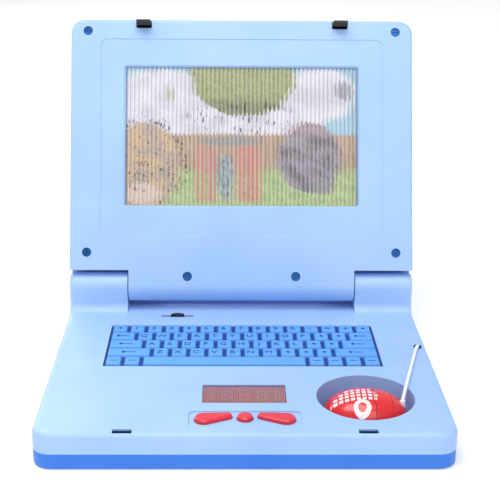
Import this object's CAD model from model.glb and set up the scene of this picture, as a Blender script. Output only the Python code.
import math

import bmesh
import bpy
from mathutils import Matrix, Vector


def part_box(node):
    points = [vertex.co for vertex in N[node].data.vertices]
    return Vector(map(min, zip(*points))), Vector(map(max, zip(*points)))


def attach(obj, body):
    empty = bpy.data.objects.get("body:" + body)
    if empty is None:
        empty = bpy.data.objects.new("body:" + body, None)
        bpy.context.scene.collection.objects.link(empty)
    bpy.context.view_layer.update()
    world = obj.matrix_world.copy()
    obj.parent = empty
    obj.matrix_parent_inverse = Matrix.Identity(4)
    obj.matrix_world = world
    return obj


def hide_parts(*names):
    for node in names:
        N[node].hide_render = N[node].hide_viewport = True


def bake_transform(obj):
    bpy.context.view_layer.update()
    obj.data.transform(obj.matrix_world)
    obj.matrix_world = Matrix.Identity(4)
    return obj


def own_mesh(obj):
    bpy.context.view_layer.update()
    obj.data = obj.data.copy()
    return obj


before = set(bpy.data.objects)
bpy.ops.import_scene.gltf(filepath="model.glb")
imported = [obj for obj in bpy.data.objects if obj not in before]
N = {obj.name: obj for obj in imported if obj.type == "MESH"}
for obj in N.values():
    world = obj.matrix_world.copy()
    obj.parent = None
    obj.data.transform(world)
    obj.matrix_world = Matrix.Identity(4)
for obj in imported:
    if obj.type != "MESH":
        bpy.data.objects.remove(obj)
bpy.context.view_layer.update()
MM = 0.001

# The lid's own frame: v runs up the lid, n out of its front face, both in millimetres.
LEAN = math.radians(21.27)


def lid(x, v, n):
    """A point of the open lid, from millimetres across, up and out of it, to metres."""
    return Vector((
        x * MM,
        (89.5 + v * math.sin(LEAN) - n * math.cos(LEAN)) * MM,
        (55.7 + v * math.cos(LEAN) + n * math.sin(LEAN)) * MM,
    ))


def srgb(h, a=1.0):
    c = [int(h[i:i + 2], 16) / 255 for i in (1, 3, 5)]
    return tuple(x / 12.92 if x <= 0.04045 else ((x + 0.055) / 1.055) ** 2.4 for x in c) + (a,)


def shade(c, k):
    return tuple(min(1.0, x * k) for x in c[:3]) + (1.0,)


# ------------------------------------------------------------------ materials
class Nodes:
    """A thin wrapper that makes node trees readable."""

    def __init__(self, name):
        self.mat = bpy.data.materials.new(name)
        self.mat.use_nodes = True
        self.t = self.mat.node_tree
        self.t.nodes.clear()
        self.out = self.t.nodes.new("ShaderNodeOutputMaterial")
        self.b = self.t.nodes.new("ShaderNodeBsdfPrincipled")
        self.t.links.new(self.b.outputs[0], self.out.inputs[0])
        coord = self.t.nodes.new("ShaderNodeTexCoord")
        scale = self.t.nodes.new("ShaderNodeVectorMath")
        scale.operation = "SCALE"
        scale.inputs["Scale"].default_value = 1000.0
        self.t.links.new(coord.outputs["Object"], scale.inputs[0])
        self.p = scale.outputs[0]  # position in millimetres

    def put(self, socket, value):
        if hasattr(value, "is_linked") or isinstance(value, bpy.types.NodeSocket):
            self.t.links.new(value, socket)
        else:
            socket.default_value = value

    def set(self, **kw):
        for k, v in kw.items():
            self.put(self.b.inputs[k.replace("_", " ").title().replace("Ior", "IOR")], v)
        return self

    def noise(self, scale, detail=2.0, rough=0.5, vec=None, distortion=0.0):
        n = self.t.nodes.new("ShaderNodeTexNoise")
        n.inputs["Scale"].default_value = scale
        n.inputs["Detail"].default_value = detail
        n.inputs["Roughness"].default_value = rough
        n.inputs["Distortion"].default_value = distortion
        self.t.links.new(vec or self.p, n.inputs["Vector"])
        return n.outputs["Fac"]

    def voronoi(self, scale, vec=None, feature="F1", out="Distance", rand=1.0):
        n = self.t.nodes.new("ShaderNodeTexVoronoi")
        n.feature = feature
        n.inputs["Scale"].default_value = scale
        n.inputs["Randomness"].default_value = rand
        self.t.links.new(vec or self.p, n.inputs["Vector"])
        return n.outputs[out]

    def math(self, op, a, b=0.0, c=None, clamp=False):
        n = self.t.nodes.new("ShaderNodeMath")
        n.operation = op
        n.use_clamp = clamp
        self.put(n.inputs[0], a)
        self.put(n.inputs[1], b)
        if c is not None:
            self.put(n.inputs[2], c)
        return n.outputs[0]

    def vmath(self, op, a, b=None, scale=None):
        n = self.t.nodes.new("ShaderNodeVectorMath")
        n.operation = op
        self.put(n.inputs[0], a)
        if b is not None:
            self.put(n.inputs[1], b)
        if scale is not None:
            self.put(n.inputs["Scale"], scale)
        return n.outputs["Value"] if op in ("DOT_PRODUCT", "LENGTH", "DISTANCE") else n.outputs[0]

    def ramp(self, x, lo, hi, a=0.0, b=1.0, smooth=True):
        n = self.t.nodes.new("ShaderNodeMapRange")
        n.interpolation_type = "SMOOTHSTEP" if smooth else "LINEAR"
        n.clamp = True
        self.put(n.inputs["Value"], x)
        for k, v in (("From Min", lo), ("From Max", hi), ("To Min", a), ("To Max", b)):
            self.put(n.inputs[k], v)
        return n.outputs["Result"]

    def mix(self, f, a, b, blend="MIX"):
        n = self.t.nodes.new("ShaderNodeMix")
        n.data_type = "RGBA"
        n.blend_type = blend
        n.clamp_factor = True
        self.put(n.inputs[0], f)
        self.put(n.inputs[6], a)
        self.put(n.inputs[7], b)
        return n.outputs[2]

    def split(self, vec):
        n = self.t.nodes.new("ShaderNodeSeparateXYZ")
        self.put(n.inputs[0], vec)
        return n.outputs

    def join(self, x, y, z):
        n = self.t.nodes.new("ShaderNodeCombineXYZ")
        for i, v in enumerate((x, y, z)):
            self.put(n.inputs[i], v)
        return n.outputs[0]

    def normal(self):
        return self.t.nodes.new("ShaderNodeNewGeometry").outputs["Normal"]

    def bump(self, height, distance_mm, strength=1.0, under=None):
        n = self.t.nodes.new("ShaderNodeBump")
        n.inputs["Strength"].default_value = strength
        n.inputs["Distance"].default_value = distance_mm * MM
        self.put(n.inputs["Height"], height)
        if under is not None:
            self.t.links.new(under, n.inputs["Normal"])
        return n.outputs[0]

    def soft_edges(self, radius_mm):
        """Rounded-edge normals and, from them, a mask that is 1 along worn edges."""
        n = self.t.nodes.new("ShaderNodeBevel")
        n.samples = 6
        n.inputs["Radius"].default_value = radius_mm * MM
        geo = self.t.nodes.new("ShaderNodeNewGeometry")
        dot = self.vmath("DOT_PRODUCT", n.outputs[0], geo.outputs["Normal"])
        return n.outputs[0], self.ramp(dot, 0.995, 0.80, 0.0, 1.0)

    def lid_plane(self):
        """Millimetres across, up and out of the open lid, for patterns printed on it."""
        x, y, z = self.split(self.p)
        dy = self.math("SUBTRACT", y, 89.5)
        dz = self.math("SUBTRACT", z, 55.7)
        v = self.math("ADD", self.math("MULTIPLY", dy, math.sin(LEAN)), self.math("MULTIPLY", dz, math.cos(LEAN)))
        n = self.math("SUBTRACT", self.math("MULTIPLY", dz, math.sin(LEAN)), self.math("MULTIPLY", dy, math.cos(LEAN)))
        return x, v, n


def moulded(name, colour, rough=0.38, grain=0.014, grain_scale=1.6, wave=0.05, edge=0.35, coat=0.0, coat_rough=0.1,
            tint=None, spec=0.5, scuff=0.3, sss=0.0, worn=None):
    """Injection-moulded plastic: spark-eroded grain, sink-mark waviness, colour drift, faint scuffs and softened edges."""
    n = Nodes(name)
    broad = n.noise(0.018, 3.0, 0.5)
    middle = n.noise(0.16, 4.0, 0.6)
    fine = n.noise(grain_scale, 3.0, 0.65)
    c2 = tint or tuple(min(1.0, a * k) for a, k in zip(colour[:3], (0.90, 0.94, 0.985))) + (1.0,)
    col = n.mix(n.ramp(broad, 0.35, 0.68), colour, c2)
    col = n.mix(n.ramp(middle, 0.50, 0.80, 0.0, 0.22), col, shade(colour, 0.90))
    # hairline scuffs, stretched along one direction so they read as handling marks
    x, y, z = n.split(n.p)
    stretched = n.join(n.math("MULTIPLY", x, 0.10), n.math("MULTIPLY", y, 0.9), n.math("MULTIPLY", z, 0.9))
    scratch = n.ramp(n.noise(1.3, 5.0, 0.75, vec=stretched, distortion=0.4), 0.66, 0.74, 0.0, scuff)
    soft, mask = n.soft_edges(0.45)
    col = n.mix(n.math("MULTIPLY", mask, edge), col, worn or shade(tuple(0.55 * a + 0.45 for a in colour[:3]), 1.0))
    r = n.math("ADD", n.ramp(middle, 0.3, 0.7, rough - 0.05, rough + 0.07), n.math("MULTIPLY", scratch, 0.12))
    r = n.math("ADD", r, n.math("MULTIPLY", mask, -0.06))
    bump = n.bump(broad, wave, 0.5, soft)
    bump = n.bump(fine, grain, 0.9, bump)
    n.set(base_color=col, roughness=r, normal=bump)
    n.b.inputs["Specular IOR Level"].default_value = spec
    n.b.inputs["Coat Weight"].default_value = coat
    n.b.inputs["Coat Roughness"].default_value = coat_rough
    if sss:
        n.b.inputs["Subsurface Weight"].default_value = sss
        n.b.inputs["Subsurface Radius"].default_value = (0.002, 0.002, 0.003)
        n.b.inputs["Subsurface Scale"].default_value = 1.0
    return n


LIGHT = srgb("#a5c6f4")
MEDIUM = srgb("#2c7add")

M = {}
M["light"] = moulded("moulded_light_blue", LIGHT, rough=0.42, grain=0.012, wave=0.06, sss=0.0).mat
M["medium"] = moulded("moulded_medium_blue", MEDIUM, rough=0.40, grain=0.012, wave=0.05,
                      worn=srgb("#86b4f6")).mat
M["cover"] = moulded("gloss_blue_cover", srgb("#2f79da"), rough=0.34, grain=0.003, grain_scale=0.9, wave=0.03, coat=1.0,
                     coat_rough=0.18, scuff=0.06, worn=srgb("#4d8df0")).mat
for node in M["cover"].node_tree.nodes:
    if node.type == "BSDF_PRINCIPLED":
        node.inputs["Coat IOR"].default_value = 1.62
        node.inputs["Coat Tint"].default_value = (0.93, 0.95, 1.0, 1.0)
M["keys"] = moulded("key_blue", srgb("#62a6ee"), rough=0.46, grain=0.016, grain_scale=2.2, worn=srgb("#9fcbfb"), edge=0.5).mat
M["key_bed"] = moulded("key_bed_blue", srgb("#0f418f"), rough=0.6, grain=0.016, edge=0.1).mat
M["button"] = moulded("button_red", srgb("#e32a3b"), rough=0.30, grain=0.006, wave=0.03, coat=0.4, worn=srgb("#ff7a80"),
                      edge=0.3).mat
M["latch"] = moulded("latch_black", srgb("#0b0d13"), rough=0.42, grain=0.016, worn=srgb("#3c4150"), edge=0.5).mat
M["rubber"] = moulded("rubber_dark", srgb("#10182c"), rough=0.75, grain=0.03, grain_scale=2.5, worn=srgb("#222c44")).mat
M["acetal"] = moulded("acetal_white", srgb("#dfe2e6"), rough=0.42, grain=0.01, sss=0.1).mat
M["opal"] = moulded("opal_white", srgb("#eceef0"), rough=0.55, grain=0.012, sss=0.2).mat
M["chip"] = moulded("potted_black", srgb("#101216"), rough=0.5, grain=0.03, grain_scale=3.0).mat
M["silicone"] = moulded("silicone_grey", srgb("#c4c8cc"), rough=0.62, grain=0.01, sss=0.3).mat
M["clear_resin"] = moulded("lamp_resin", srgb("#f3ecdc"), rough=0.15, grain=0.0, coat=0.5).mat
M["cell"] = moulded("cell_sleeve", srgb("#3b424c"), rough=0.3, grain=0.004, coat=0.3).mat
M["red_wire"] = moulded("wire_red_pvc", srgb("#b3151c"), rough=0.45, grain=0.01).mat


def metal(name, colour, rough=0.28, scale=3.0, aniso=(0.08, 1.0, 1.0)):
    n = Nodes(name)
    x, y, z = n.split(n.p)
    v = n.join(n.math("MULTIPLY", x, aniso[0]), n.math("MULTIPLY", y, aniso[1]), n.math("MULTIPLY", z, aniso[2]))
    brushed = n.noise(scale, 4.0, 0.7, vec=v)
    blot = n.noise(0.5, 3.0)
    soft, mask = n.soft_edges(0.2)
    col = n.mix(n.ramp(blot, 0.35, 0.7), colour, shade(colour, 0.72))
    col = n.mix(n.math("MULTIPLY", mask, 0.4), col, shade(colour, 1.4))
    n.set(base_color=col, metallic=1.0, roughness=n.ramp(brushed, 0.3, 0.7, rough - 0.08, rough + 0.14),
          normal=n.bump(brushed, 0.01, 0.6, soft))
    return n.mat


M["steel"] = metal("zinc_plated_steel", srgb("#b9bcc2"))
M["screw"] = metal("blued_screw", srgb("#356bae"), rough=0.34)
M["magnet"] = metal("magnet_grey", srgb("#5c5f66"), rough=0.5)


def board_material():
    n = Nodes("solder_resist_green")
    x, y, z = n.split(n.p)
    grid = n.join(n.math("MULTIPLY", x, 0.35), n.math("MULTIPLY", y, 0.35), 0.0)
    tracks = n.voronoi(1.0, vec=grid, feature="DISTANCE_TO_EDGE", rand=0.35)
    pads = n.voronoi(0.28, rand=0.2)
    mask = n.ramp(tracks, 0.05, 0.09, 1.0, 0.0)
    col = n.mix(mask, srgb("#14552b"), srgb("#2f7f45"))
    col = n.mix(n.ramp(pads, 0.14, 0.17, 1.0, 0.0), col, srgb("#c7b069"))
    n.set(base_color=col, roughness=n.ramp(n.noise(0.7), 0.3, 0.7, 0.28, 0.42), normal=n.bump(mask, 0.03))
    return n.mat


M["board"] = board_material()


def paper_material():
    n = Nodes("pressed_paper_black")
    fibres = n.noise(2.4, 6.0, 0.8, distortion=1.5)
    n.set(base_color=n.mix(n.ramp(fibres, 0.35, 0.65), srgb("#141416"), srgb("#2b2b30")), roughness=0.85,
          normal=n.bump(fibres, 0.05))
    return n.mat


M["paper"] = paper_material()


def cord_material():
    """Soft white sheath: slightly translucent, with faint drawn ripples along it."""
    n = Nodes("cord_white_pvc")
    ripple = n.noise(0.5, 2.0)
    fine = n.noise(4.0, 2.0)
    col = n.mix(n.ramp(ripple, 0.35, 0.7), srgb("#f4f6fb"), srgb("#dfe6f4"))
    n.set(base_color=col, roughness=n.ramp(fine, 0.3, 0.7, 0.34, 0.48), normal=n.bump(fine, 0.01))
    n.b.inputs["Subsurface Weight"].default_value = 0.15
    n.b.inputs["Subsurface Radius"].default_value = (0.001, 0.001, 0.0013)
    n.b.inputs["Subsurface Scale"].default_value = 1.0
    return n.mat


M["cord"] = cord_material()


def mouse_material():
    """Gloss red shell with a plain white print: one ring and a few short dashes, all generic."""
    n = moulded("mouse_gloss_red", srgb("#ea1f26"), rough=0.26, grain=0.004, wave=0.05, coat=0.55, coat_rough=0.08,
                worn=srgb("#ff8080"), edge=0.25)
    x, y, z = n.split(n.p)
    # print coordinates: u along the mouse, w towards the user
    u = n.math("SUBTRACT", x, 74.6)
    w = n.math("SUBTRACT", y, -70.6)
    ring_d = n.math("SQRT", n.math("ADD", n.math("POWER", n.math("MULTIPLY", u, 0.95), 2.0), n.math("POWER", w, 2.0)))
    ring = n.math("MULTIPLY", n.ramp(ring_d, 2.6, 2.9), n.ramp(ring_d, 5.4, 5.1))
    masks = ring
    for cy, x0, x1 in ((-64.2, 55.0, 84.5), (-60.6, 57.0, 86.0), (-57.0, 60.0, 84.0), (-53.4, 64.0, 81.0)):
        row = n.math("MULTIPLY", n.ramp(y, cy - 1.25, cy - 1.0), n.ramp(y, cy + 1.25, cy + 1.0))
        span = n.math("MULTIPLY", n.ramp(x, x0 - 0.2, x0 + 0.2), n.ramp(x, x1 + 0.2, x1 - 0.2))
        dashes = n.ramp(n.math("FRACT", n.math("MULTIPLY", n.math("ADD", x, cy), 0.27)), 0.66, 0.70, 1.0, 0.0)
        masks = n.math("MAXIMUM", masks, n.math("MULTIPLY", n.math("MULTIPLY", row, span), dashes))
    masks = n.math("MULTIPLY", masks, n.ramp(n.noise(1.6, 3.0), 0.32, 0.42))  # the print is slightly rubbed
    base = n.b.inputs["Base Color"].links[0].from_socket
    n.put(n.b.inputs["Base Color"], n.mix(masks, base, srgb("#fff6f4")))
    return n.mat


M["mouse"] = mouse_material()
M["mouse_plate"] = moulded("mouse_plate_red", srgb("#b3141a"), rough=0.45, grain=0.014).mat


def window_material():
    """Red tinted window over a dim digit module: dark plates of four digits show faintly through it."""
    n = Nodes("window_red_tint")
    x, y, z = n.split(n.p)
    lines = n.math("SINE", n.math("MULTIPLY", x, 2 * math.pi / 1.6))
    smudge = n.noise(0.3, 3.0)
    rows = n.math("SINE", n.math("MULTIPLY", y, 2 * math.pi / 1.6))
    grid = n.math("ADD", n.math("MULTIPLY", lines, 0.6), n.math("MULTIPLY", rows, 0.4))
    col = n.mix(n.ramp(grid, -0.5, 0.6), srgb("#80444e"), srgb("#9e6167"))
    # seven-segment ghosts, four digits across
    cell = n.math("SUBTRACT", n.math("FRACT", n.math("ADD", n.math("DIVIDE", x, 11.5), 0.5)), 0.5)
    u = n.math("ABSOLUTE", n.math("MULTIPLY", cell, 11.5))
    w = n.math("ABSOLUTE", n.math("SUBTRACT", y, -53.0))
    inside = n.math("MULTIPLY", n.ramp(n.math("ABSOLUTE", x), 23.4, 22.8), 1.0)
    side = n.math("MULTIPLY", n.math("MULTIPLY", n.ramp(u, 2.2, 2.4), n.ramp(u, 3.4, 3.2)),
                  n.math("MULTIPLY", n.ramp(w, 0.6, 0.9), n.ramp(w, 6.2, 5.9)))
    bars = n.math("MULTIPLY", n.ramp(u, 2.4, 2.2), n.math("MAXIMUM", n.ramp(w, 0.7, 0.5),
                  n.math("MULTIPLY", n.ramp(w, 5.6, 5.8), n.ramp(w, 6.9, 6.7))))
    ghost = n.math("MULTIPLY", n.math("MAXIMUM", side, bars), inside)
    col = n.mix(n.math("MULTIPLY", ghost, 0.20), col, srgb("#c59aa0"))
    # the far edge lies in the recess's shadow
    col = n.mix(n.ramp(y, -42.4, -40.6, 0.0, 0.75), col, srgb("#4c2b38"))
    soft, mask = n.soft_edges(0.35)
    n.set(base_color=n.mix(n.math("MULTIPLY", mask, 0.4), col, srgb("#c79ba0")),
          roughness=n.ramp(smudge, 0.3, 0.7, 0.10, 0.24), normal=soft)
    n.b.inputs["Coat Weight"].default_value = 0.6
    n.b.inputs["Coat Roughness"].default_value = 0.05
    return n.mat


M["window"] = window_material()


def picture_material():
    """A printed landscape behind ribbed sheet. Two views are interlaced rib by rib, as on any flip picture."""
    n = Nodes("ribbed_picture_print")
    x, v, out = n.lid_plane()
    pitch = 3.2
    cell = n.math("FRACT", n.math("DIVIDE", n.math("ADD", x, 200.0), pitch))
    second = n.ramp(cell, 0.46, 0.56)  # which of the two interlaced prints this strip shows
    # picture coordinates: 0..1 across and down the opening, the second print shifted a little
    px = n.math("DIVIDE", n.math("ADD", x, 88.3), 176.6)
    px = n.math("ADD", px, n.math("MULTIPLY", second, 0.022))
    py = n.math("DIVIDE", n.math("SUBTRACT", 154.7, v), 105.7)
    py = n.math("ADD", py, n.math("MULTIPLY", second, 0.015))
    pv = n.join(n.math("MULTIPLY", px, 1.67), py, 0.0)

    def wob(scale, amount, seed=0.0):
        shifted = n.vmath("ADD", pv, (seed, seed * 0.7, 0.0))
        return n.math("MULTIPLY", n.math("SUBTRACT", n.noise(scale, 3.0, 0.55, vec=shifted), 0.5), amount)

    def blob(cx, cy, rx, ry, soft=0.05, rag=0.5, scale=9.0, seed=0.0):
        """1 inside a ragged ellipse."""
        dx = n.math("DIVIDE", n.math("SUBTRACT", px, cx), rx)
        dy = n.math("DIVIDE", n.math("SUBTRACT", py, cy), ry)
        d = n.math("SQRT", n.math("ADD", n.math("MULTIPLY", dx, dx), n.math("MULTIPLY", dy, dy)))
        d = n.math("ADD", d, wob(scale, rag, seed))
        return n.ramp(d, 1.0 + soft, 1.0 - soft)

    # sky and clouds
    col = n.mix(n.ramp(n.noise(3.0, 3.0, vec=pv), 0.3, 0.7), srgb("#8fc4dc"), srgb("#74b3d2"))
    for cx, cy, rx, ry, s in ((0.16, 0.26, 0.24, 0.24, 1.0), (0.42, 0.36, 0.26, 0.18, 2.0), (0.84, 0.20, 0.16, 0.20, 3.0),
                              (0.66, 0.40, 0.20, 0.13, 4.0), (0.06, 0.42, 0.16, 0.14, 5.0)):
        puff = blob(cx, cy, rx, ry, 0.10, 0.35, 6.0, s)
        col = n.mix(puff, col, n.mix(n.ramp(n.noise(7.0, 3.0, vec=pv), 0.35, 0.65), srgb("#e4e0ea"), srgb("#cdc9d8")))
    # far field, banded tan and brown, then grass
    ground = n.ramp(n.math("ADD", py, wob(3.0, 0.02)), 0.486, 0.494)
    field = n.mix(n.ramp(n.noise(14.0, 3.0, vec=n.vmath("MULTIPLY", pv, (3.0, 0.35, 1.0))), 0.35, 0.65),
                  srgb("#c39a72"), srgb("#a9845f"))
    col = n.mix(ground, col, field)
    grass = n.ramp(n.math("ADD", py, wob(4.0, 0.16, 7.0)), 0.70, 0.80)
    green = n.mix(n.ramp(n.noise(20.0, 4.0, vec=pv), 0.35, 0.65), srgb("#b6cc70"), srgb("#98b25c"))
    col = n.mix(grass, col, green)
    # tree crown, dark leaf edge underneath
    crown = blob(0.515, 0.05, 0.225, 0.31, 0.03, 0.28, 13.0, 9.0)
    leaf = n.mix(n.ramp(n.noise(26.0, 4.0, vec=pv), 0.35, 0.65), srgb("#a9b45e"), srgb("#8c9c50"))
    leaf = n.mix(n.ramp(n.math("ADD", py, wob(16.0, 0.12, 3.0)), 0.18, 0.30, 0.0, 0.65), leaf, srgb("#5f6d46"))
    leaf = n.mix(second, leaf, n.mix(0.35, leaf, srgb("#a98e63")))
    col = n.mix(crown, col, leaf)
    # autumn bush at the left, dark speckles low in it
    bush = blob(0.09, 0.72, 0.155, 0.31, 0.03, 0.35, 11.0, 12.0)
    tan = n.mix(n.ramp(n.noise(7.0, 4.0, vec=pv), 0.40, 0.60), srgb("#d2a35c"), srgb("#b49a84"))
    tan = n.mix(n.ramp(n.noise(34.0, 2.0, vec=pv), 0.60, 0.68, 0.0, 0.8), tan, srgb("#3d3236"))
    col = n.mix(bush, col, tan)
    col = n.mix(blob(0.085, 0.92, 0.08, 0.08, 0.08, 0.3, 9.0, 15.0), col, srgb("#dcb9a0"))
    # a fence of red poles with a blue-grey bundle between them
    for cx, w, top, c in ((0.325, 0.012, 0.56, "#d2623f"), (0.375, 0.020, 0.60, "#cf5b52"), (0.50, 0.012, 0.58, "#d4693f"),
                          (0.545, 0.026, 0.57, "#cf5a47"), (0.582, 0.010, 0.63, "#d8713f"), (0.445, 0.012, 0.66, "#d8813f")):
        pole = n.math("MULTIPLY", n.ramp(n.math("ABSOLUTE", n.math("SUBTRACT", px, cx)), w + 0.006, w - 0.004),
                      n.math("MULTIPLY", n.ramp(py, top - 0.02, top + 0.02), n.ramp(py, 0.99, 0.96)))
        col = n.mix(n.math("MULTIPLY", pole, 0.8), col, srgb(c))
    col = n.mix(n.math("MULTIPLY", blob(0.44, 0.80, 0.035, 0.16, 0.10, 0.5, 14.0, 18.0), 0.85), col,
                n.mix(n.ramp(n.noise(24.0, 2.0, vec=pv), 0.4, 0.6), srgb("#5f7f96"), srgb("#9fb4b8")))
    col = n.mix(n.math("MULTIPLY", blob(0.46, 0.54, 0.13, 0.035, 0.2, 0.4, 14.0, 20.0), 0.6), col, srgb("#7f93a3"))
    # a grey boulder with heather on top, at the right
    rock = blob(0.80, 0.66, 0.135, 0.25, 0.03, 0.34, 8.0, 22.0)
    stone = n.mix(n.ramp(n.noise(12.0, 4.0, vec=pv), 0.38, 0.64), srgb("#9c929f"), srgb("#6f6673"))
    stone = n.mix(n.ramp(n.math("ADD", py, wob(9.0, 0.12, 5.0)), 0.56, 0.44, 0.0, 0.55), stone, srgb("#b98a95"))
    col = n.mix(rock, col, stone)
    col = n.mix(blob(0.86, 0.86, 0.05, 0.06, 0.1, 0.4, 14.0, 25.0), col, srgb("#938b92"))
    col = n.mix(n.math("MULTIPLY", blob(0.95, 0.17, 0.035, 0.07, 0.2, 0.5, 14.0, 27.0), 0.6), col, srgb("#5c6270"))
    col = n.mix(n.math("MULTIPLY", blob(0.20, 0.20, 0.014, 0.05, 0.2, 0.4, 20.0, 28.0), 0.8), col, srgb("#a9bd55"))
    # small dark leaves falling from the crown
    drips = n.noise(22.0, 1.0, vec=n.vmath("MULTIPLY", pv, (1.6, 0.55, 1.0)))
    spots = n.math("MULTIPLY", n.ramp(drips, 0.60, 0.66), blob(0.50, 0.36, 0.24, 0.13, 0.2, 0.2))
    col = n.mix(n.math("MULTIPLY", spots, 0.75), col, srgb("#33382f"))
    line = n.math("MULTIPLY", blob(0.09, 0.70, 0.185, 0.335, 0.03, 0.35, 11.0, 12.0),
                  n.math("SUBTRACT", 1.0, blob(0.09, 0.72, 0.160, 0.315, 0.03, 0.35, 11.0, 12.0)))
    dots = n.ramp(n.noise(30.0, 1.0, vec=pv), 0.50, 0.56)
    col = n.mix(n.math("MULTIPLY", n.math("MULTIPLY", line, dots), 0.8), col, srgb("#4a3c38"))
    specks = n.math("MULTIPLY", n.ramp(n.noise(26.0, 2.0, vec=n.vmath("ADD", pv, (3.1, 1.7, 0.0))), 0.60, 0.65),
                    blob(0.10, 0.84, 0.13, 0.16, 0.2, 0.3))
    col = n.mix(n.math("MULTIPLY", specks, 0.8), col, srgb("#3b3030"))
    # the frame's shadow along the top and the side edges
    edge = n.math("MAXIMUM", n.ramp(py, 0.035, 0.0), n.math("MAXIMUM", n.ramp(px, 0.02, 0.0), n.ramp(px, 0.985, 1.01)))
    col = n.mix(n.math("MULTIPLY", edge, 0.6), col, srgb("#3c6f92"))
    # rib shading: each rib is darker in its valley, the second print a little paler
    valley = n.math("ABSOLUTE", n.math("SUBTRACT", cell, 0.5))
    col = n.mix(n.math("MULTIPLY", second, 0.20), col, srgb("#dcd8d6"))
    col = n.mix(n.ramp(valley, 0.36, 0.5, 0.0, 0.42), col, shade(srgb("#6d6a66"), 0.8))
    grey = n.t.nodes.new("ShaderNodeHueSaturation")
    grey.inputs["Saturation"].default_value = 0.74
    grey.inputs["Value"].default_value = 0.88
    n.put(grey.inputs["Color"], col)
    n.set(base_color=grey.outputs[0], roughness=n.ramp(n.noise(0.4), 0.3, 0.7, 0.24, 0.36))
    n.b.inputs["Coat Weight"].default_value = 0.35
    n.b.inputs["Coat Roughness"].default_value = 0.12
    return n.mat


M["picture"] = picture_material()


def legend_material():
    n = Nodes("legend_ink")
    n.set(base_color=n.mix(n.ramp(n.noise(2.0), 0.3, 0.7), srgb("#173a78"), srgb("#2a518f")), roughness=0.55,
          normal=n.bump(n.noise(4.0), 0.01))
    return n.mat


M["ink"] = legend_material()

CAD_MATERIAL = {
    "base_upper_shell": "light", "lid_bezel": "light",
    "base_lower_shell": "medium", "battery_door": "medium",
    "lid_back_cover": "cover",
    "button_left": "button", "button_middle": "button", "button_right": "button",
    "latch_left": "latch", "latch_right": "latch", "switch_knob": "latch",
    "cord_grommet": "rubber", "rest_pads": "rubber", "cord_sleeve": "cord",
    "display_window": "window", "picture_card": "opal", "light_diffuser": "opal", "screen_tray": "opal",
    "main_board": "board", "keyboard_board": "board", "lamp_board": "board", "mouse_board": "board",
    "sound_chip": "chip", "board_components": "chip", "display_module": "chip", "mouse_switch": "chip",
    "speaker_magnet": "magnet", "lamps": "clear_resin", "display_segments": "clear_resin",
    "keyboard_dome_mat": "silicone", "button_pad": "silicone", "speaker_cone": "paper",
    "base_screws": "steel", "board_screws": "steel", "battery_door_screw": "steel", "mouse_screw": "steel",
    "lid_screws": "screw",
    "battery_springs": "steel", "latch_spring_left": "steel", "latch_spring_right": "steel",
    "switch_housing": "steel", "speaker_basket": "steel", "battery_plates": "steel",
    "hinge_pin_left": "acetal", "hinge_pin_right": "acetal", "hinge_bushes": "acetal",
    "battery_cells": "cell", "speaker_leads": "red_wire", "battery_leads": "red_wire", "lid_lead_base": "red_wire",
    "lid_lead": "red_wire",
}


# ------------------------------------------------------------------ shading of the CAD nodes
def shade_group():
    """Geometry nodes that shade smooth and mark edges over 24 degrees sharp, without moving any vertex."""
    g = bpy.data.node_groups.new("smooth_by_angle", "GeometryNodeTree")
    g.interface.new_socket("Geometry", in_out="INPUT", socket_type="NodeSocketGeometry")
    g.interface.new_socket("Geometry", in_out="OUTPUT", socket_type="NodeSocketGeometry")
    i, o = g.nodes.new("NodeGroupInput"), g.nodes.new("NodeGroupOutput")
    faces, edges = g.nodes.new("GeometryNodeSetShadeSmooth"), g.nodes.new("GeometryNodeSetShadeSmooth")
    faces.domain, edges.domain = "FACE", "EDGE"
    angle = g.nodes.new("GeometryNodeInputMeshEdgeAngle")
    more = g.nodes.new("FunctionNodeCompare")
    more.data_type, more.operation = "FLOAT", "GREATER_THAN"
    more.inputs[1].default_value = math.radians(24)
    faces.inputs["Shade Smooth"].default_value = True
    edges.inputs["Shade Smooth"].default_value = False
    g.links.new(i.outputs[0], faces.inputs["Geometry"])
    g.links.new(faces.outputs[0], edges.inputs["Geometry"])
    g.links.new(angle.outputs["Unsigned Angle"], more.inputs[0])
    g.links.new(more.outputs[0], edges.inputs["Selection"])
    g.links.new(edges.outputs[0], o.inputs[0])
    return g


SMOOTH = shade_group()


def smooth(obj, weld=True):
    if weld:
        w = obj.modifiers.new("weld", "WELD")
        w.merge_threshold = 2e-6
    m = obj.modifiers.new("smooth", "NODES")
    m.node_group = SMOOTH
    k = obj.modifiers.new("weighted", "WEIGHTED_NORMAL")
    k.keep_sharp = True
    k.mode = "FACE_AREA_WITH_ANGLE"
    k.weight = 60


def paint(obj, key):
    obj.data.materials.clear()
    obj.data.materials.append(M[key])


for name, obj in N.items():
    if obj.data.has_custom_normals:
        attribute = obj.data.attributes.get("custom_normal")
        if attribute:
            obj.data.attributes.remove(attribute)
    paint(obj, CAD_MATERIAL.get(name, "light"))
    smooth(obj)


# ------------------------------------------------------------------ mesh helpers
def new_object(name, verts, faces, key):
    mesh = bpy.data.meshes.new(name)
    mesh.from_pydata([tuple(p) for p in verts], [], faces)
    mesh.validate()
    obj = bpy.data.objects.new(name, mesh)
    bpy.context.scene.collection.objects.link(obj)
    obj.data.materials.append(M[key])
    return obj


def rounded_rect(x0, x1, y0, y1, r, steps=4):
    r = max(min(r, (x1 - x0) / 2 - 1e-4, (y1 - y0) / 2 - 1e-4), 1e-3)
    pts = []
    for cx, cy, a0 in ((x1 - r, y0 + r, -90), (x1 - r, y1 - r, 0), (x0 + r, y1 - r, 90), (x0 + r, y0 + r, 180)):
        for i in range(steps + 1):
            a = math.radians(a0 + 90 * i / steps)
            pts.append((cx + r * math.cos(a), cy + r * math.sin(a)))
    return pts


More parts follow.
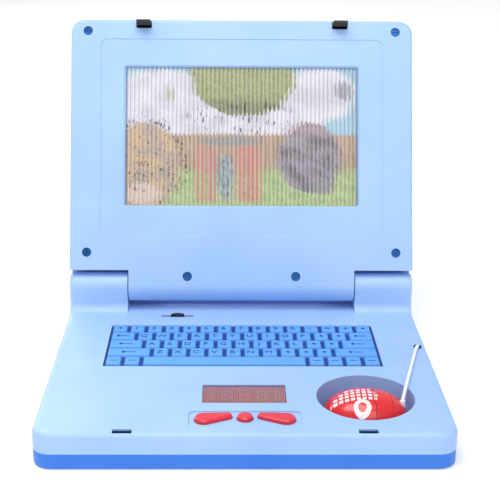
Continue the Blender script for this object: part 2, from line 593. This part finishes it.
class Mesh:
    """Collects closed solids in millimetres and turns them into one object."""

    def __init__(self):
        self.v, self.f = [], []

    def loft(self, loops, place=lambda p: Vector(p) * MM):
        """loops: lists of (x, y, z) with one count each, bottom first, wound anticlockwise seen from above."""
        start, k = len(self.v), len(loops[0])
        for loop in loops:
            self.v += [place(p) for p in loop]
        self.f.append([start + i for i in reversed(range(k))])
        for j in range(len(loops) - 1):
            a, b = start + j * k, start + (j + 1) * k
            for i in range(k):
                i2 = (i + 1) % k
                self.f.append([a + i, a + i2, b + i2, b + i])
        top = start + (len(loops) - 1) * k
        self.f.append([top + i for i in range(k)])

    def make(self, name, key):
        return new_object(name, self.v, self.f, key)


def finish_piece(obj, body, slot, *nodes, blend=None):
    smooth(obj, weld=False)
    if blend:
        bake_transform(obj)
    else:
        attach(obj, body)
    if nodes:
        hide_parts(*nodes)
    return obj


# ------------------------------------------------------------------ keyboard: a bed and 61 dished caps
lo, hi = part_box("keyboard_panel")
KX, KTOP = 95.5, hi.z / MM
KY0, KY1 = -12.0, 58.0
ROWS = [
    [1 + i for i in range(14)],
    [1.5 + i for i in range(13)],
    [2 + i for i in range(12)],
    [2.5 + i for i in range(11)],
    [1, 2, 11, 12, 13, 14],
]
UNIT = (2 * KX - 1.0) / 15
PITCH = (KY1 - KY0 - 1.0) / 5
bed = Mesh()
z0 = lo.z / MM
loops = []
for inset, z in ((0.4, z0), (0.0, z0 + 0.4), (0.0, z0 + 1.3)):
    loops.append([(x, y, z) for x, y in rounded_rect(-KX - 2 + inset, KX + 2 - inset, KY0 - 2 + inset, KY1 + 2 - inset, 1.5)])
loops2 = []
for inset, z in ((0.5, z0 + 1.0), (0.5, z0 + 2.8), (0.8, z0 + 3.1)):
    loops2.append([(x, y, z) for x, y in rounded_rect(-KX + inset, KX - inset, KY0 + inset, KY1 - inset, 0.8)])
bed.loft(loops)
bed.loft(loops2)
bed_obj = bed.make("keyboard_bed", "key_bed")
finish_piece(bed_obj, "keyboard", "key_blue", "keyboard_panel")

caps = Mesh()
LEGENDS = ["~1234567890-=<", "QWERTYUIOP[]", "ASDFGHJKL;'", "ZXCVBNM,./", ""]
text_at = []
for r, cuts in enumerate(ROWS):
    y1 = KY1 - 0.5 - r * PITCH - 0.75
    y0 = y1 - PITCH + 1.5
    stops = [0] + cuts + [15]
    count = len(stops) - 1
    letters = LEGENDS[r]
    for k, (a, b) in enumerate(zip(stops, stops[1:])):
        x0, x1 = 0.5 - KX + a * UNIT + 1.15, 0.5 - KX + b * UNIT - 1.15
        yy0, yy1 = y0 - 0.05, y1 + 0.05
        prof = [(0.0, z0 + 2.6), (0.12, KTOP - 1.3), (0.35, KTOP - 0.55), (0.7, KTOP - 0.14), (1.15, KTOP), (2.0, KTOP - 0.05),
                (3.4, KTOP - 0.16)]
        loops = [[(x, y, z) for x, y in rounded_rect(x0 + i, x1 - i, yy0 + i * 0.9, yy1 - i * 0.9, max(1.0 - 0.1 * i, 0.5))]
                 for i, z in prof]
        caps.loft(loops)
        wide = (b - a) > 1.3
        cx, cy = (x0 + x1) / 2, (yy0 + yy1) / 2
        if r == 4 and b - a > 5:
            continue
        text_at.append((r, k, count, cx, cy, x1 - x0, wide))
caps_obj = caps.make("keyboard_caps", "keys")
finish_piece(caps_obj, "keyboard", "key_blue")

# legends: plain letters and digits, with plain bars and arrows on the wide keys
legend = Mesh()


def bar(x0, x1, y0, y1, z, h=0.05):
    legend.loft([[(x, y, zz) for x, y in rounded_rect(x0, x1, y0, y1, 0.15, 2)] for zz in (z - 0.12, z + h)])


glyphs = []
row_text = ["1234567890-=", "QWERTYUIOP", "ASDFGHJKL", "ZXCVBNM"]
for r, k, count, cx, cy, w, wide in text_at:
    z = KTOP - 0.12
    if wide or r == 4:
        span = min(w * 0.52, 9.5)
        bar(cx - span / 2, cx + span / 2, cy - 0.45, cy + 0.35, z)
        if r in (1, 2, 3):
            bar(cx - span / 2, cx - span / 2 + 1.6, cy - 1.5, cy + 1.5, z)
    else:
        letters = row_text[r] if r < 4 else ""
        index = k - 1
        if 0 <= index < len(letters):
            glyphs.append((letters[index], cx, cy, z))
            bar(cx + 2.5, cx + 3.9, cy + 1.6, cy + 2.5, z)
        else:
            bar(cx - 1.6, cx + 1.6, cy - 0.5, cy + 0.5, z)
            bar(cx - 0.5, cx + 0.5, cy - 1.6, cy + 1.6, z)
legend_obj = legend.make("keyboard_marks", "ink")
finish_piece(legend_obj, "keyboard", "key_blue")

font_mesh = bmesh.new()
for ch, cx, cy, z in glyphs:
    curve = bpy.data.curves.new("glyph", "FONT")
    curve.body = ch
    curve.size = 7.0 * MM
    curve.extrude = 0.08 * MM
    curve.offset = 0.0 if ch == "M" else 0.06 * MM
    curve.align_x, curve.align_y = "CENTER", "CENTER"
    curve.resolution_u = 3
    text = bpy.data.objects.new("glyph", curve)
    bpy.context.scene.collection.objects.link(text)
    dg = bpy.context.evaluated_depsgraph_get()
    mesh = bpy.data.meshes.new_from_object(text.evaluated_get(dg))
    mesh.transform(Matrix.Translation(Vector((cx - 0.9, cy - 0.3, z)) * MM))
    font_mesh.from_mesh(mesh)
    bpy.data.objects.remove(text)
    bpy.data.meshes.remove(mesh)
bmesh.ops.remove_doubles(font_mesh, verts=font_mesh.verts, dist=2e-6)
letters_mesh = bpy.data.meshes.new("keyboard_letters")
font_mesh.to_mesh(letters_mesh)
font_mesh.free()
letters_obj = bpy.data.objects.new("keyboard_letters", letters_mesh)
bpy.context.scene.collection.objects.link(letters_obj)
letters_obj.data.materials.append(M["ink"])
finish_piece(letters_obj, "keyboard", "key_blue")

# ------------------------------------------------------------------ power switch: a lens-shaped knob with grip ribs
lo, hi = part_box("switch_knob")
KCX, KCY = (lo.x + hi.x) / 2 / MM, (lo.y + hi.y) / 2 / MM
KHX, KHY, KZ0, KZ1 = (hi.x - lo.x) / 2 / MM, (hi.y - lo.y) / 2 / MM, lo.z / MM, hi.z / MM
knob = Mesh()
# the lever below, the sliding shield under the deck, and the lens-shaped thumb piece above
knob.loft([[(x, y, z) for x, y in rounded_rect(KCX - 1.5, KCX + 1.5, KCY - 1.2, KCY + 1.2, 0.3)] for z in (KZ0, KZ0 + 4.4)])
knob.loft([[(x, y, z) for x, y in rounded_rect(KCX - KHX, KCX + KHX, KCY - KHY, KCY + KHY, 0.6)]
           for z in (KZ0 + 4.2, KZ0 + 5.35)])
loops = []
for inset, z in ((0.0, KZ0 + 5.0), (0.0, KZ1 - 1.3), (0.12, KZ1 - 0.7), (0.45, KZ1 - 0.25), (0.9, KZ1 - 0.1)):
    pts = []
    for side in (-1, 1):
        for i in range(24):
            t = (-1 + 2 * i / 24) * -side
            pts.append((KCX + (5.0 - inset) * t, KCY + side * (1.75 - inset * 0.6) * max(0.0, 1 - t * t) ** 0.8, z))
    loops.append(pts)
knob.loft(loops)
for k in range(-2, 3):
    x = KCX + k * 1.25
    half = 1.35 * (1 - (k * 0.25) ** 2) ** 0.8
    knob.loft([[(px, py, zz) for px, py in rounded_rect(x - 0.28, x + 0.28, KCY - half, KCY + half, 0.22, 2)]
               for zz in (KZ1 - 0.6, KZ1)])
knob_obj = knob.make("power_knob", "latch")
finish_piece(knob_obj, "power_switch", "latch_black", "switch_knob")

# ------------------------------------------------------------------ ribbed picture sheet
PITCH_RIB, STEPS = 3.2, 8
x0, x1, v0, v1 = -91.2, 91.2, 46.3, 157.4
verts, faces = [], []
profile = []
x = x0
while x < x1 - 1e-6:
    cell = ((x + 200.0) / PITCH_RIB) % 1.0
    profile.append((x, -2.62 + 0.40 * math.sin(math.pi * cell) ** 0.8 if cell > 1e-9 else -2.62))
    x += PITCH_RIB / STEPS
profile.append((x1, -2.62))
k = len(profile)
for v in (v0, v1):
    for x, n in profile:
        verts.append(lid(x, v, n))
for v in (v0, v1):
    verts += [lid(x0, v, -3.38), lid(x1, v, -3.38)]
A, B = 2 * k, 2 * k + 2
for i in range(k - 1):
    faces.append([i, i + 1, k + i + 1, k + i])
faces.append([A + 1, A, B, B + 1])
faces.append([A] + [A + 1] + list(range(k - 1, -1, -1)))
faces.append([B + 1, B] + list(range(k, 2 * k)))
faces.append([A, 0, k, B])
faces.append([k - 1, A + 1, B + 1, 2 * k - 1])
sheet = new_object("ribbed_picture", verts, faces, "picture")
bm = bmesh.new()
bm.from_mesh(sheet.data)
bmesh.ops.recalc_face_normals(bm, faces=bm.faces)
bm.to_mesh(sheet.data)
bm.free()
finish_piece(sheet, "lid", "lens_clear", "screen_lens")

# ------------------------------------------------------------------ mouse: a leaf-shaped shell with its nose at the cord
MX, MY, MZ = 78.0, -57.4, 2.8
HALF_L, HALF_W, HGT = 29.4, 20.9, 24.4


def half_width(u):
    t = max(-1.0, min(1.0, u / HALF_L))
    return HALF_W * max(0.0, 1 - t * t) ** (0.50 if t < 0 else 0.58)


def ridge(u):
    """The dome's height along its ridge; it stays high and rounds over only at the two ends."""
    t = max(-1.0, min(1.0, u / HALF_L))
    return HGT * math.sqrt(max(0.0, 1 - (u / 35.0) ** 2)) * max(0.0, 1 - abs(t) ** 9) ** 0.5


def section(u, z0=1.65, z1=None, side=0, steps=36):
    """A section across the mouse: all of it above z0, or only one side's wall between z0 and z1."""
    w, h = max(half_width(u), 0.05), max(ridge(u), 1.75)

    def angle(z):
        return math.asin(min(1.0, z / h) ** (1 / 0.74))

    if z1 is None:
        a0, a1 = angle(z0), math.pi - angle(z0)
    elif side < 0:
        a0, a1 = angle(z0), angle(z1)
    else:
        a0, a1 = math.pi - angle(z1), math.pi - angle(z0)
    pts = []
    for i in range(steps + 1):
        a = a0 + (a1 - a0) * i / steps
        c, sn = math.cos(a), math.sin(a)
        pts.append((MX + u, MY - w * (abs(c) ** 0.80) * (1 if c > 0 else -1), MZ + h * (abs(sn) ** 0.74)))
    return pts


def shell(name, u0, u1, count, **arc):
    """A closed shell 1.6 mm thick between two stations along the mouse."""
    bm = bmesh.new()
    us = []
    for i in range(count + 1):
        t = i / count
        if u0 < -HALF_L + 1:
            t = 1 - math.cos(math.pi * t / 2)  # closer stations where the end rounds over
        elif u1 > HALF_L - 1:
            t = math.sin(math.pi * t / 2)
        us.append(u0 + (u1 - u0) * t)
    rows = [[bm.verts.new(Vector(p) * MM) for p in section(u, **arc)] for u in us]
    for a, b in zip(rows, rows[1:]):
        for i in range(len(a) - 1):
            try:
                bm.faces.new((a[i], b[i], b[i + 1], a[i + 1]))
            except ValueError:
                pass
    bmesh.ops.remove_doubles(bm, verts=bm.verts, dist=2e-5)
    bmesh.ops.dissolve_degenerate(bm, dist=1e-5, edges=bm.edges)
    bmesh.ops.recalc_face_normals(bm, faces=bm.faces)
    mesh = bpy.data.meshes.new(name)
    bm.to_mesh(mesh)
    bm.free()
    obj = bpy.data.objects.new(name, mesh)
    bpy.context.scene.collection.objects.link(obj)
    obj.data.materials.append(M["mouse"])
    return obj


def outward(obj):
    bm = bmesh.new()
    bm.from_mesh(obj.data)
    bmesh.ops.recalc_face_normals(bm, faces=bm.faces)
    # an open surface may come out inside out: its faces must look away from the mouse's middle
    centre = Vector((MX, MY, MZ)) * MM
    if sum(f.calc_area() * f.normal.dot(f.calc_center_median() - centre) for f in bm.faces) < 0:
        bmesh.ops.reverse_faces(bm, faces=bm.faces)
    bm.to_mesh(obj.data)
    bm.free()


def thicken(obj, t):
    outward(obj)
    s = obj.modifiers.new("thick", "SOLIDIFY")
    s.thickness = t * MM
    s.offset = -1.0
    s.use_rim = True
    dg = bpy.context.evaluated_depsgraph_get()
    mesh = bpy.data.meshes.new_from_object(obj.evaluated_get(dg))
    obj.modifiers.clear()
    old = obj.data
    obj.data = mesh
    bpy.data.meshes.remove(old)


tail = shell("mouse_shell_tail", -HALF_L + 0.02, 5.25, 46)
thicken(tail, 1.4)
finish_piece(tail, "mouse", "mouse_red", "mouse_top")
nose = shell("mouse_shell_nose", 16.75, HALF_L - 0.02, 26)
thicken(nose, 1.0)
finish_piece(nose, "mouse", "mouse_red")
for label, side in (("near", -1), ("far", 1)):
    skirt = shell("mouse_shell_skirt_" + label, 5.25, 16.75, 16, z1=5.35, side=side, steps=8)
    thicken(skirt, 1.4)
    finish_piece(skirt, "mouse", "mouse_red")
key = shell("mouse_button", 5.6, 16.4, 16, z0=6.3)
thicken(key, 1.4)
finish_piece(key, "mouse_key", "mouse_red", "mouse_key")

plate = Mesh()
loops = []
for inset, z in ((0.9, 0.0), (0.35, 0.45), (0.15, 1.55)):
    pts = []
    stations = 40
    for i in range(stations + 1):
        u = -HALF_L + inset + (2 * HALF_L - 2 * inset) * (0.5 - 0.5 * math.cos(math.pi * i / stations))
        pts.append((MX + u, MY - max(half_width(u) - inset, 0.02), MZ + z))
    for i in range(stations - 1, 0, -1):
        u = -HALF_L + inset + (2 * HALF_L - 2 * inset) * (0.5 - 0.5 * math.cos(math.pi * i / stations))
        pts.append((MX + u, MY + max(half_width(u) - inset, 0.02), MZ + z))
    loops.append(pts)
plate.loft(loops)
plate_obj = plate.make("mouse_bottom_plate", "mouse_plate")
finish_piece(plate_obj, "mouse", "mouse_plate", "mouse_base")

# ------------------------------------------------------------------ mouse cord: a swept sheath from nose to deck hole
hole_lo, hole_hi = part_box("cord_grommet")
HX, HY = (hole_lo.x + hole_hi.x) / 2 / MM, (hole_lo.y + hole_hi.y) / 2 / MM
CORD_R = 1.2


def spline(points, per=14):
    """A centripetal Catmull-Rom curve through the points."""
    pts = [Vector(p) for p in points]
    pts = [pts[0] * 2 - pts[1]] + pts + [pts[-1] * 2 - pts[-2]]
    out = []
    for a, b, c, d in zip(pts, pts[1:], pts[2:], pts[3:]):
        t0 = 0.0
        t1 = t0 + max((b - a).length, 1e-6) ** 0.5
        t2 = t1 + max((c - b).length, 1e-6) ** 0.5
        t3 = t2 + max((d - c).length, 1e-6) ** 0.5
        for i in range(per):
            t = t1 + (t2 - t1) * i / per
            a1 = a * ((t1 - t) / (t1 - t0)) + b * ((t - t0) / (t1 - t0))
            a2 = b * ((t2 - t) / (t2 - t1)) + c * ((t - t1) / (t2 - t1))
            a3 = c * ((t3 - t) / (t3 - t2)) + d * ((t - t2) / (t3 - t2))
            b1 = a1 * ((t2 - t) / (t2 - t0)) + a2 * ((t - t0) / (t2 - t0))
            b2 = a2 * ((t3 - t) / (t3 - t1)) + a3 * ((t - t1) / (t3 - t1))
            out.append(b1 * ((t2 - t) / (t2 - t1)) + b2 * ((t - t1) / (t2 - t1)))
    out.append(pts[-2])
    return out


def sweep(name, path, radius, key, around=20):
    verts, faces = [], []
    up = Vector((0, 0, 1))
    tangent = (path[1] - path[0]).normalized()
    side = tangent.cross(Vector((1, 0.3, 0.2))).normalized()
    rings = []
    for i, p in enumerate(path):
        t = (path[min(i + 1, len(path) - 1)] - path[max(i - 1, 0)]).normalized()
        side = (side - t * side.dot(t)).normalized()
        other = t.cross(side)
        r = radius(i / (len(path) - 1)) if callable(radius) else radius
        ring = []
        for k in range(around):
            a = 2 * math.pi * k / around
            ring.append(len(verts))
            verts.append((p + side * (r * math.cos(a)) + other * (r * math.sin(a))) * MM)
        rings.append(ring)
    faces.append(list(reversed(rings[0])))
    for a, b in zip(rings, rings[1:]):
        for k in range(around):
            k2 = (k + 1) % around
            faces.append([a[k], a[k2], b[k2], b[k]])
    faces.append(rings[-1])
    return new_object(name, verts, faces, key)


cord_path = spline([
    (MX + 24.0, MY, 9.4), (MX + 24.0, MY, 14.0), (MX + 24.2, MY + 0.8, 19.6), (105.0, -48.6, 25.6), (108.8, -34.6, 26.3),
    (113.0, -18.8, 25.8), (117.5, -2.0, 25.6), (121.6, 12.6, 25.9), (HX - 0.30, HY - 2.2, 25.7), (HX, HY, 22.8), (HX, HY, 14.0)])
cord = sweep("mouse_cord_sheath", cord_path, CORD_R, "cord")
finish_piece(cord, "mouse", "cord_white", "mouse_cord",
             blend=("base", "mouse", (HX * MM, HY * MM, 0.024), ((MX + 24.0) * MM, (MY + 1.0) * MM, 0.016)))

# ------------------------------------------------------------------ soft pieces that give way under a moving one
def yielding(node, name, body, x_from=None, x_to=None):
    """A copy of a soft piece, or of the part of it between two planes across, that flattens as its joint moves."""
    source = N[node]
    bm = bmesh.new()
    bm.from_mesh(source.data)
    bm.transform(source.matrix_world)
    bmesh.ops.remove_doubles(bm, verts=bm.verts, dist=2e-6)
    for x, direction in ((x_from, -1.0), (x_to, 1.0)):
        if x is None:
            continue
        parts = list(bm.verts) + list(bm.edges) + list(bm.faces)
        bmesh.ops.bisect_plane(bm, geom=parts, dist=1e-7, plane_co=(x * MM, 0, 0), plane_no=(direction, 0, 0), clear_outer=True)
        bmesh.ops.holes_fill(bm, edges=[e for e in bm.edges if e.is_boundary], sides=0)
    bmesh.ops.recalc_face_normals(bm, faces=bm.faces)
    mesh = bpy.data.meshes.new(name)
    bm.to_mesh(mesh)
    bm.free()
    obj = bpy.data.objects.new(name, mesh)
    bpy.context.scene.collection.objects.link(obj)
    obj.data.materials.append(M[CAD_MATERIAL[node]])
    smooth(obj, weld=False)
    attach(obj, body)
    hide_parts(node)
    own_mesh(obj)
    return obj


lo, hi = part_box("keyboard_dome_mat")
yielding("keyboard_dome_mat", "keyboard_domes", "base")
lo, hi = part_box("button_pad")
for label, x_from, x_to in (("left", None, -7.0), ("middle", -7.0, 7.0), ("right", 7.0, None)):
    yielding("button_pad", "button_pad_" + label, "base",
             x_from, x_to)
for label, side in (("left", -1), ("right", 1)):
    yielding("latch_spring_" + label, "latch_coil_" + label, "lid")

# ------------------------------------------------------------------ floor, lights and camera
floor_mesh = bpy.data.meshes.new("floor")
bm = bmesh.new()
bmesh.ops.create_circle(bm, cap_ends=True, radius=6.0, segments=96)
bm.to_mesh(floor_mesh)
bm.free()
floor = bpy.data.objects.new("floor", floor_mesh)
floor.location.z = -0.0002
bpy.context.scene.collection.objects.link(floor)
fn = Nodes("floor_pale")
fn.set(base_color=fn.mix(fn.ramp(fn.noise(0.004), 0.3, 0.7), (0.90, 0.90, 0.905, 1), (0.88, 0.885, 0.89, 1)), roughness=0.6,
       normal=fn.bump(fn.noise(0.8), 0.01))
fx, fy, fz = fn.split(fn.p)
away = fn.math("SQRT", fn.math("ADD", fn.math("MULTIPLY", fx, fx), fn.math("MULTIPLY", fy, fy)))
fn.set(emission_strength=fn.ramp(away, 200.0, 1100.0, 0.17, 0.42))
fn.b.inputs["Emission Color"].default_value = (1.0, 1.0, 1.0, 1.0)
floor.data.materials.append(fn.mat)

world = bpy.data.worlds.new("studio")
bpy.context.scene.world = world
world.use_nodes = True
wt = world.node_tree
wt.nodes.clear()
wo = wt.nodes.new("ShaderNodeOutputWorld")
bg = wt.nodes.new("ShaderNodeBackground")
seen = wt.nodes.new("ShaderNodeBackground")
path = wt.nodes.new("ShaderNodeLightPath")
mixer = wt.nodes.new("ShaderNodeMixShader")
bg.inputs[0].default_value = (0.96, 0.98, 1.0, 1)
bg.inputs[1].default_value = 0.50
seen.inputs[0].default_value = (1, 1, 1, 1)
seen.inputs[1].default_value = 1.15
wt.links.new(path.outputs["Is Camera Ray"], mixer.inputs[0])
wt.links.new(bg.outputs[0], mixer.inputs[1])
wt.links.new(seen.outputs[0], mixer.inputs[2])
wt.links.new(mixer.outputs[0], wo.inputs[0])


def area(name, where, at, size, power, colour=(1, 1, 1)):
    data = bpy.data.lights.new(name, "AREA")
    data.shape = "RECTANGLE"
    data.size, data.size_y = size
    data.energy = power
    data.color = colour
    o = bpy.data.objects.new(name, data)
    o.location = where
    o.rotation_euler = (Vector(at) - Vector(where)).to_track_quat("-Z", "Y").to_euler()
    bpy.context.scene.collection.objects.link(o)


area("key_overhead", (-0.2, -0.40, 1.45), (0, 0, 0.05), (1.3, 0.9), 16.4)
area("fill_front", (0.35, -1.35, 1.15), (0, 0.05, 0.06), (1.1, 0.8), 5.0, (1.0, 0.99, 0.98))
area("rim_back", (-0.9, 1.3, 0.9), (0, 0.1, 0.10), (1.3, 0.9), 12.0)

view_settings = bpy.context.scene.view_settings
view_settings.view_transform = "Standard"
view_settings.look = "None"

pitch, yaw, roll = math.radians(19.16), math.radians(-1.0), math.radians(0.5)
forward = Vector((-math.sin(yaw) * math.cos(pitch), math.cos(yaw) * math.cos(pitch), -math.sin(pitch)))
right = Vector((math.cos(yaw), math.sin(yaw), 0.0))
up = right.cross(forward)
r2 = right * math.cos(roll) + up * math.sin(roll)
u2 = up * math.cos(roll) - right * math.sin(roll)
cam = bpy.data.cameras.new("camera")
camera = bpy.data.objects.new("camera", cam)
bpy.context.scene.collection.objects.link(camera)
matrix = Matrix((r2, u2, -forward)).transposed().to_4x4()
matrix.translation = Vector((-0.01349, -0.70794, 0.35352))
camera.matrix_world = matrix
CLOSER = 2.2
cam.sensor_width = 36.0
cam.lens = 36.84 * CLOSER
cam.shift_x = 3.5 * CLOSER / 500
cam.shift_y = -2.5 * CLOSER / 500
cam.clip_start, cam.clip_end = 0.02, 60.0
bpy.context.scene.camera = camera
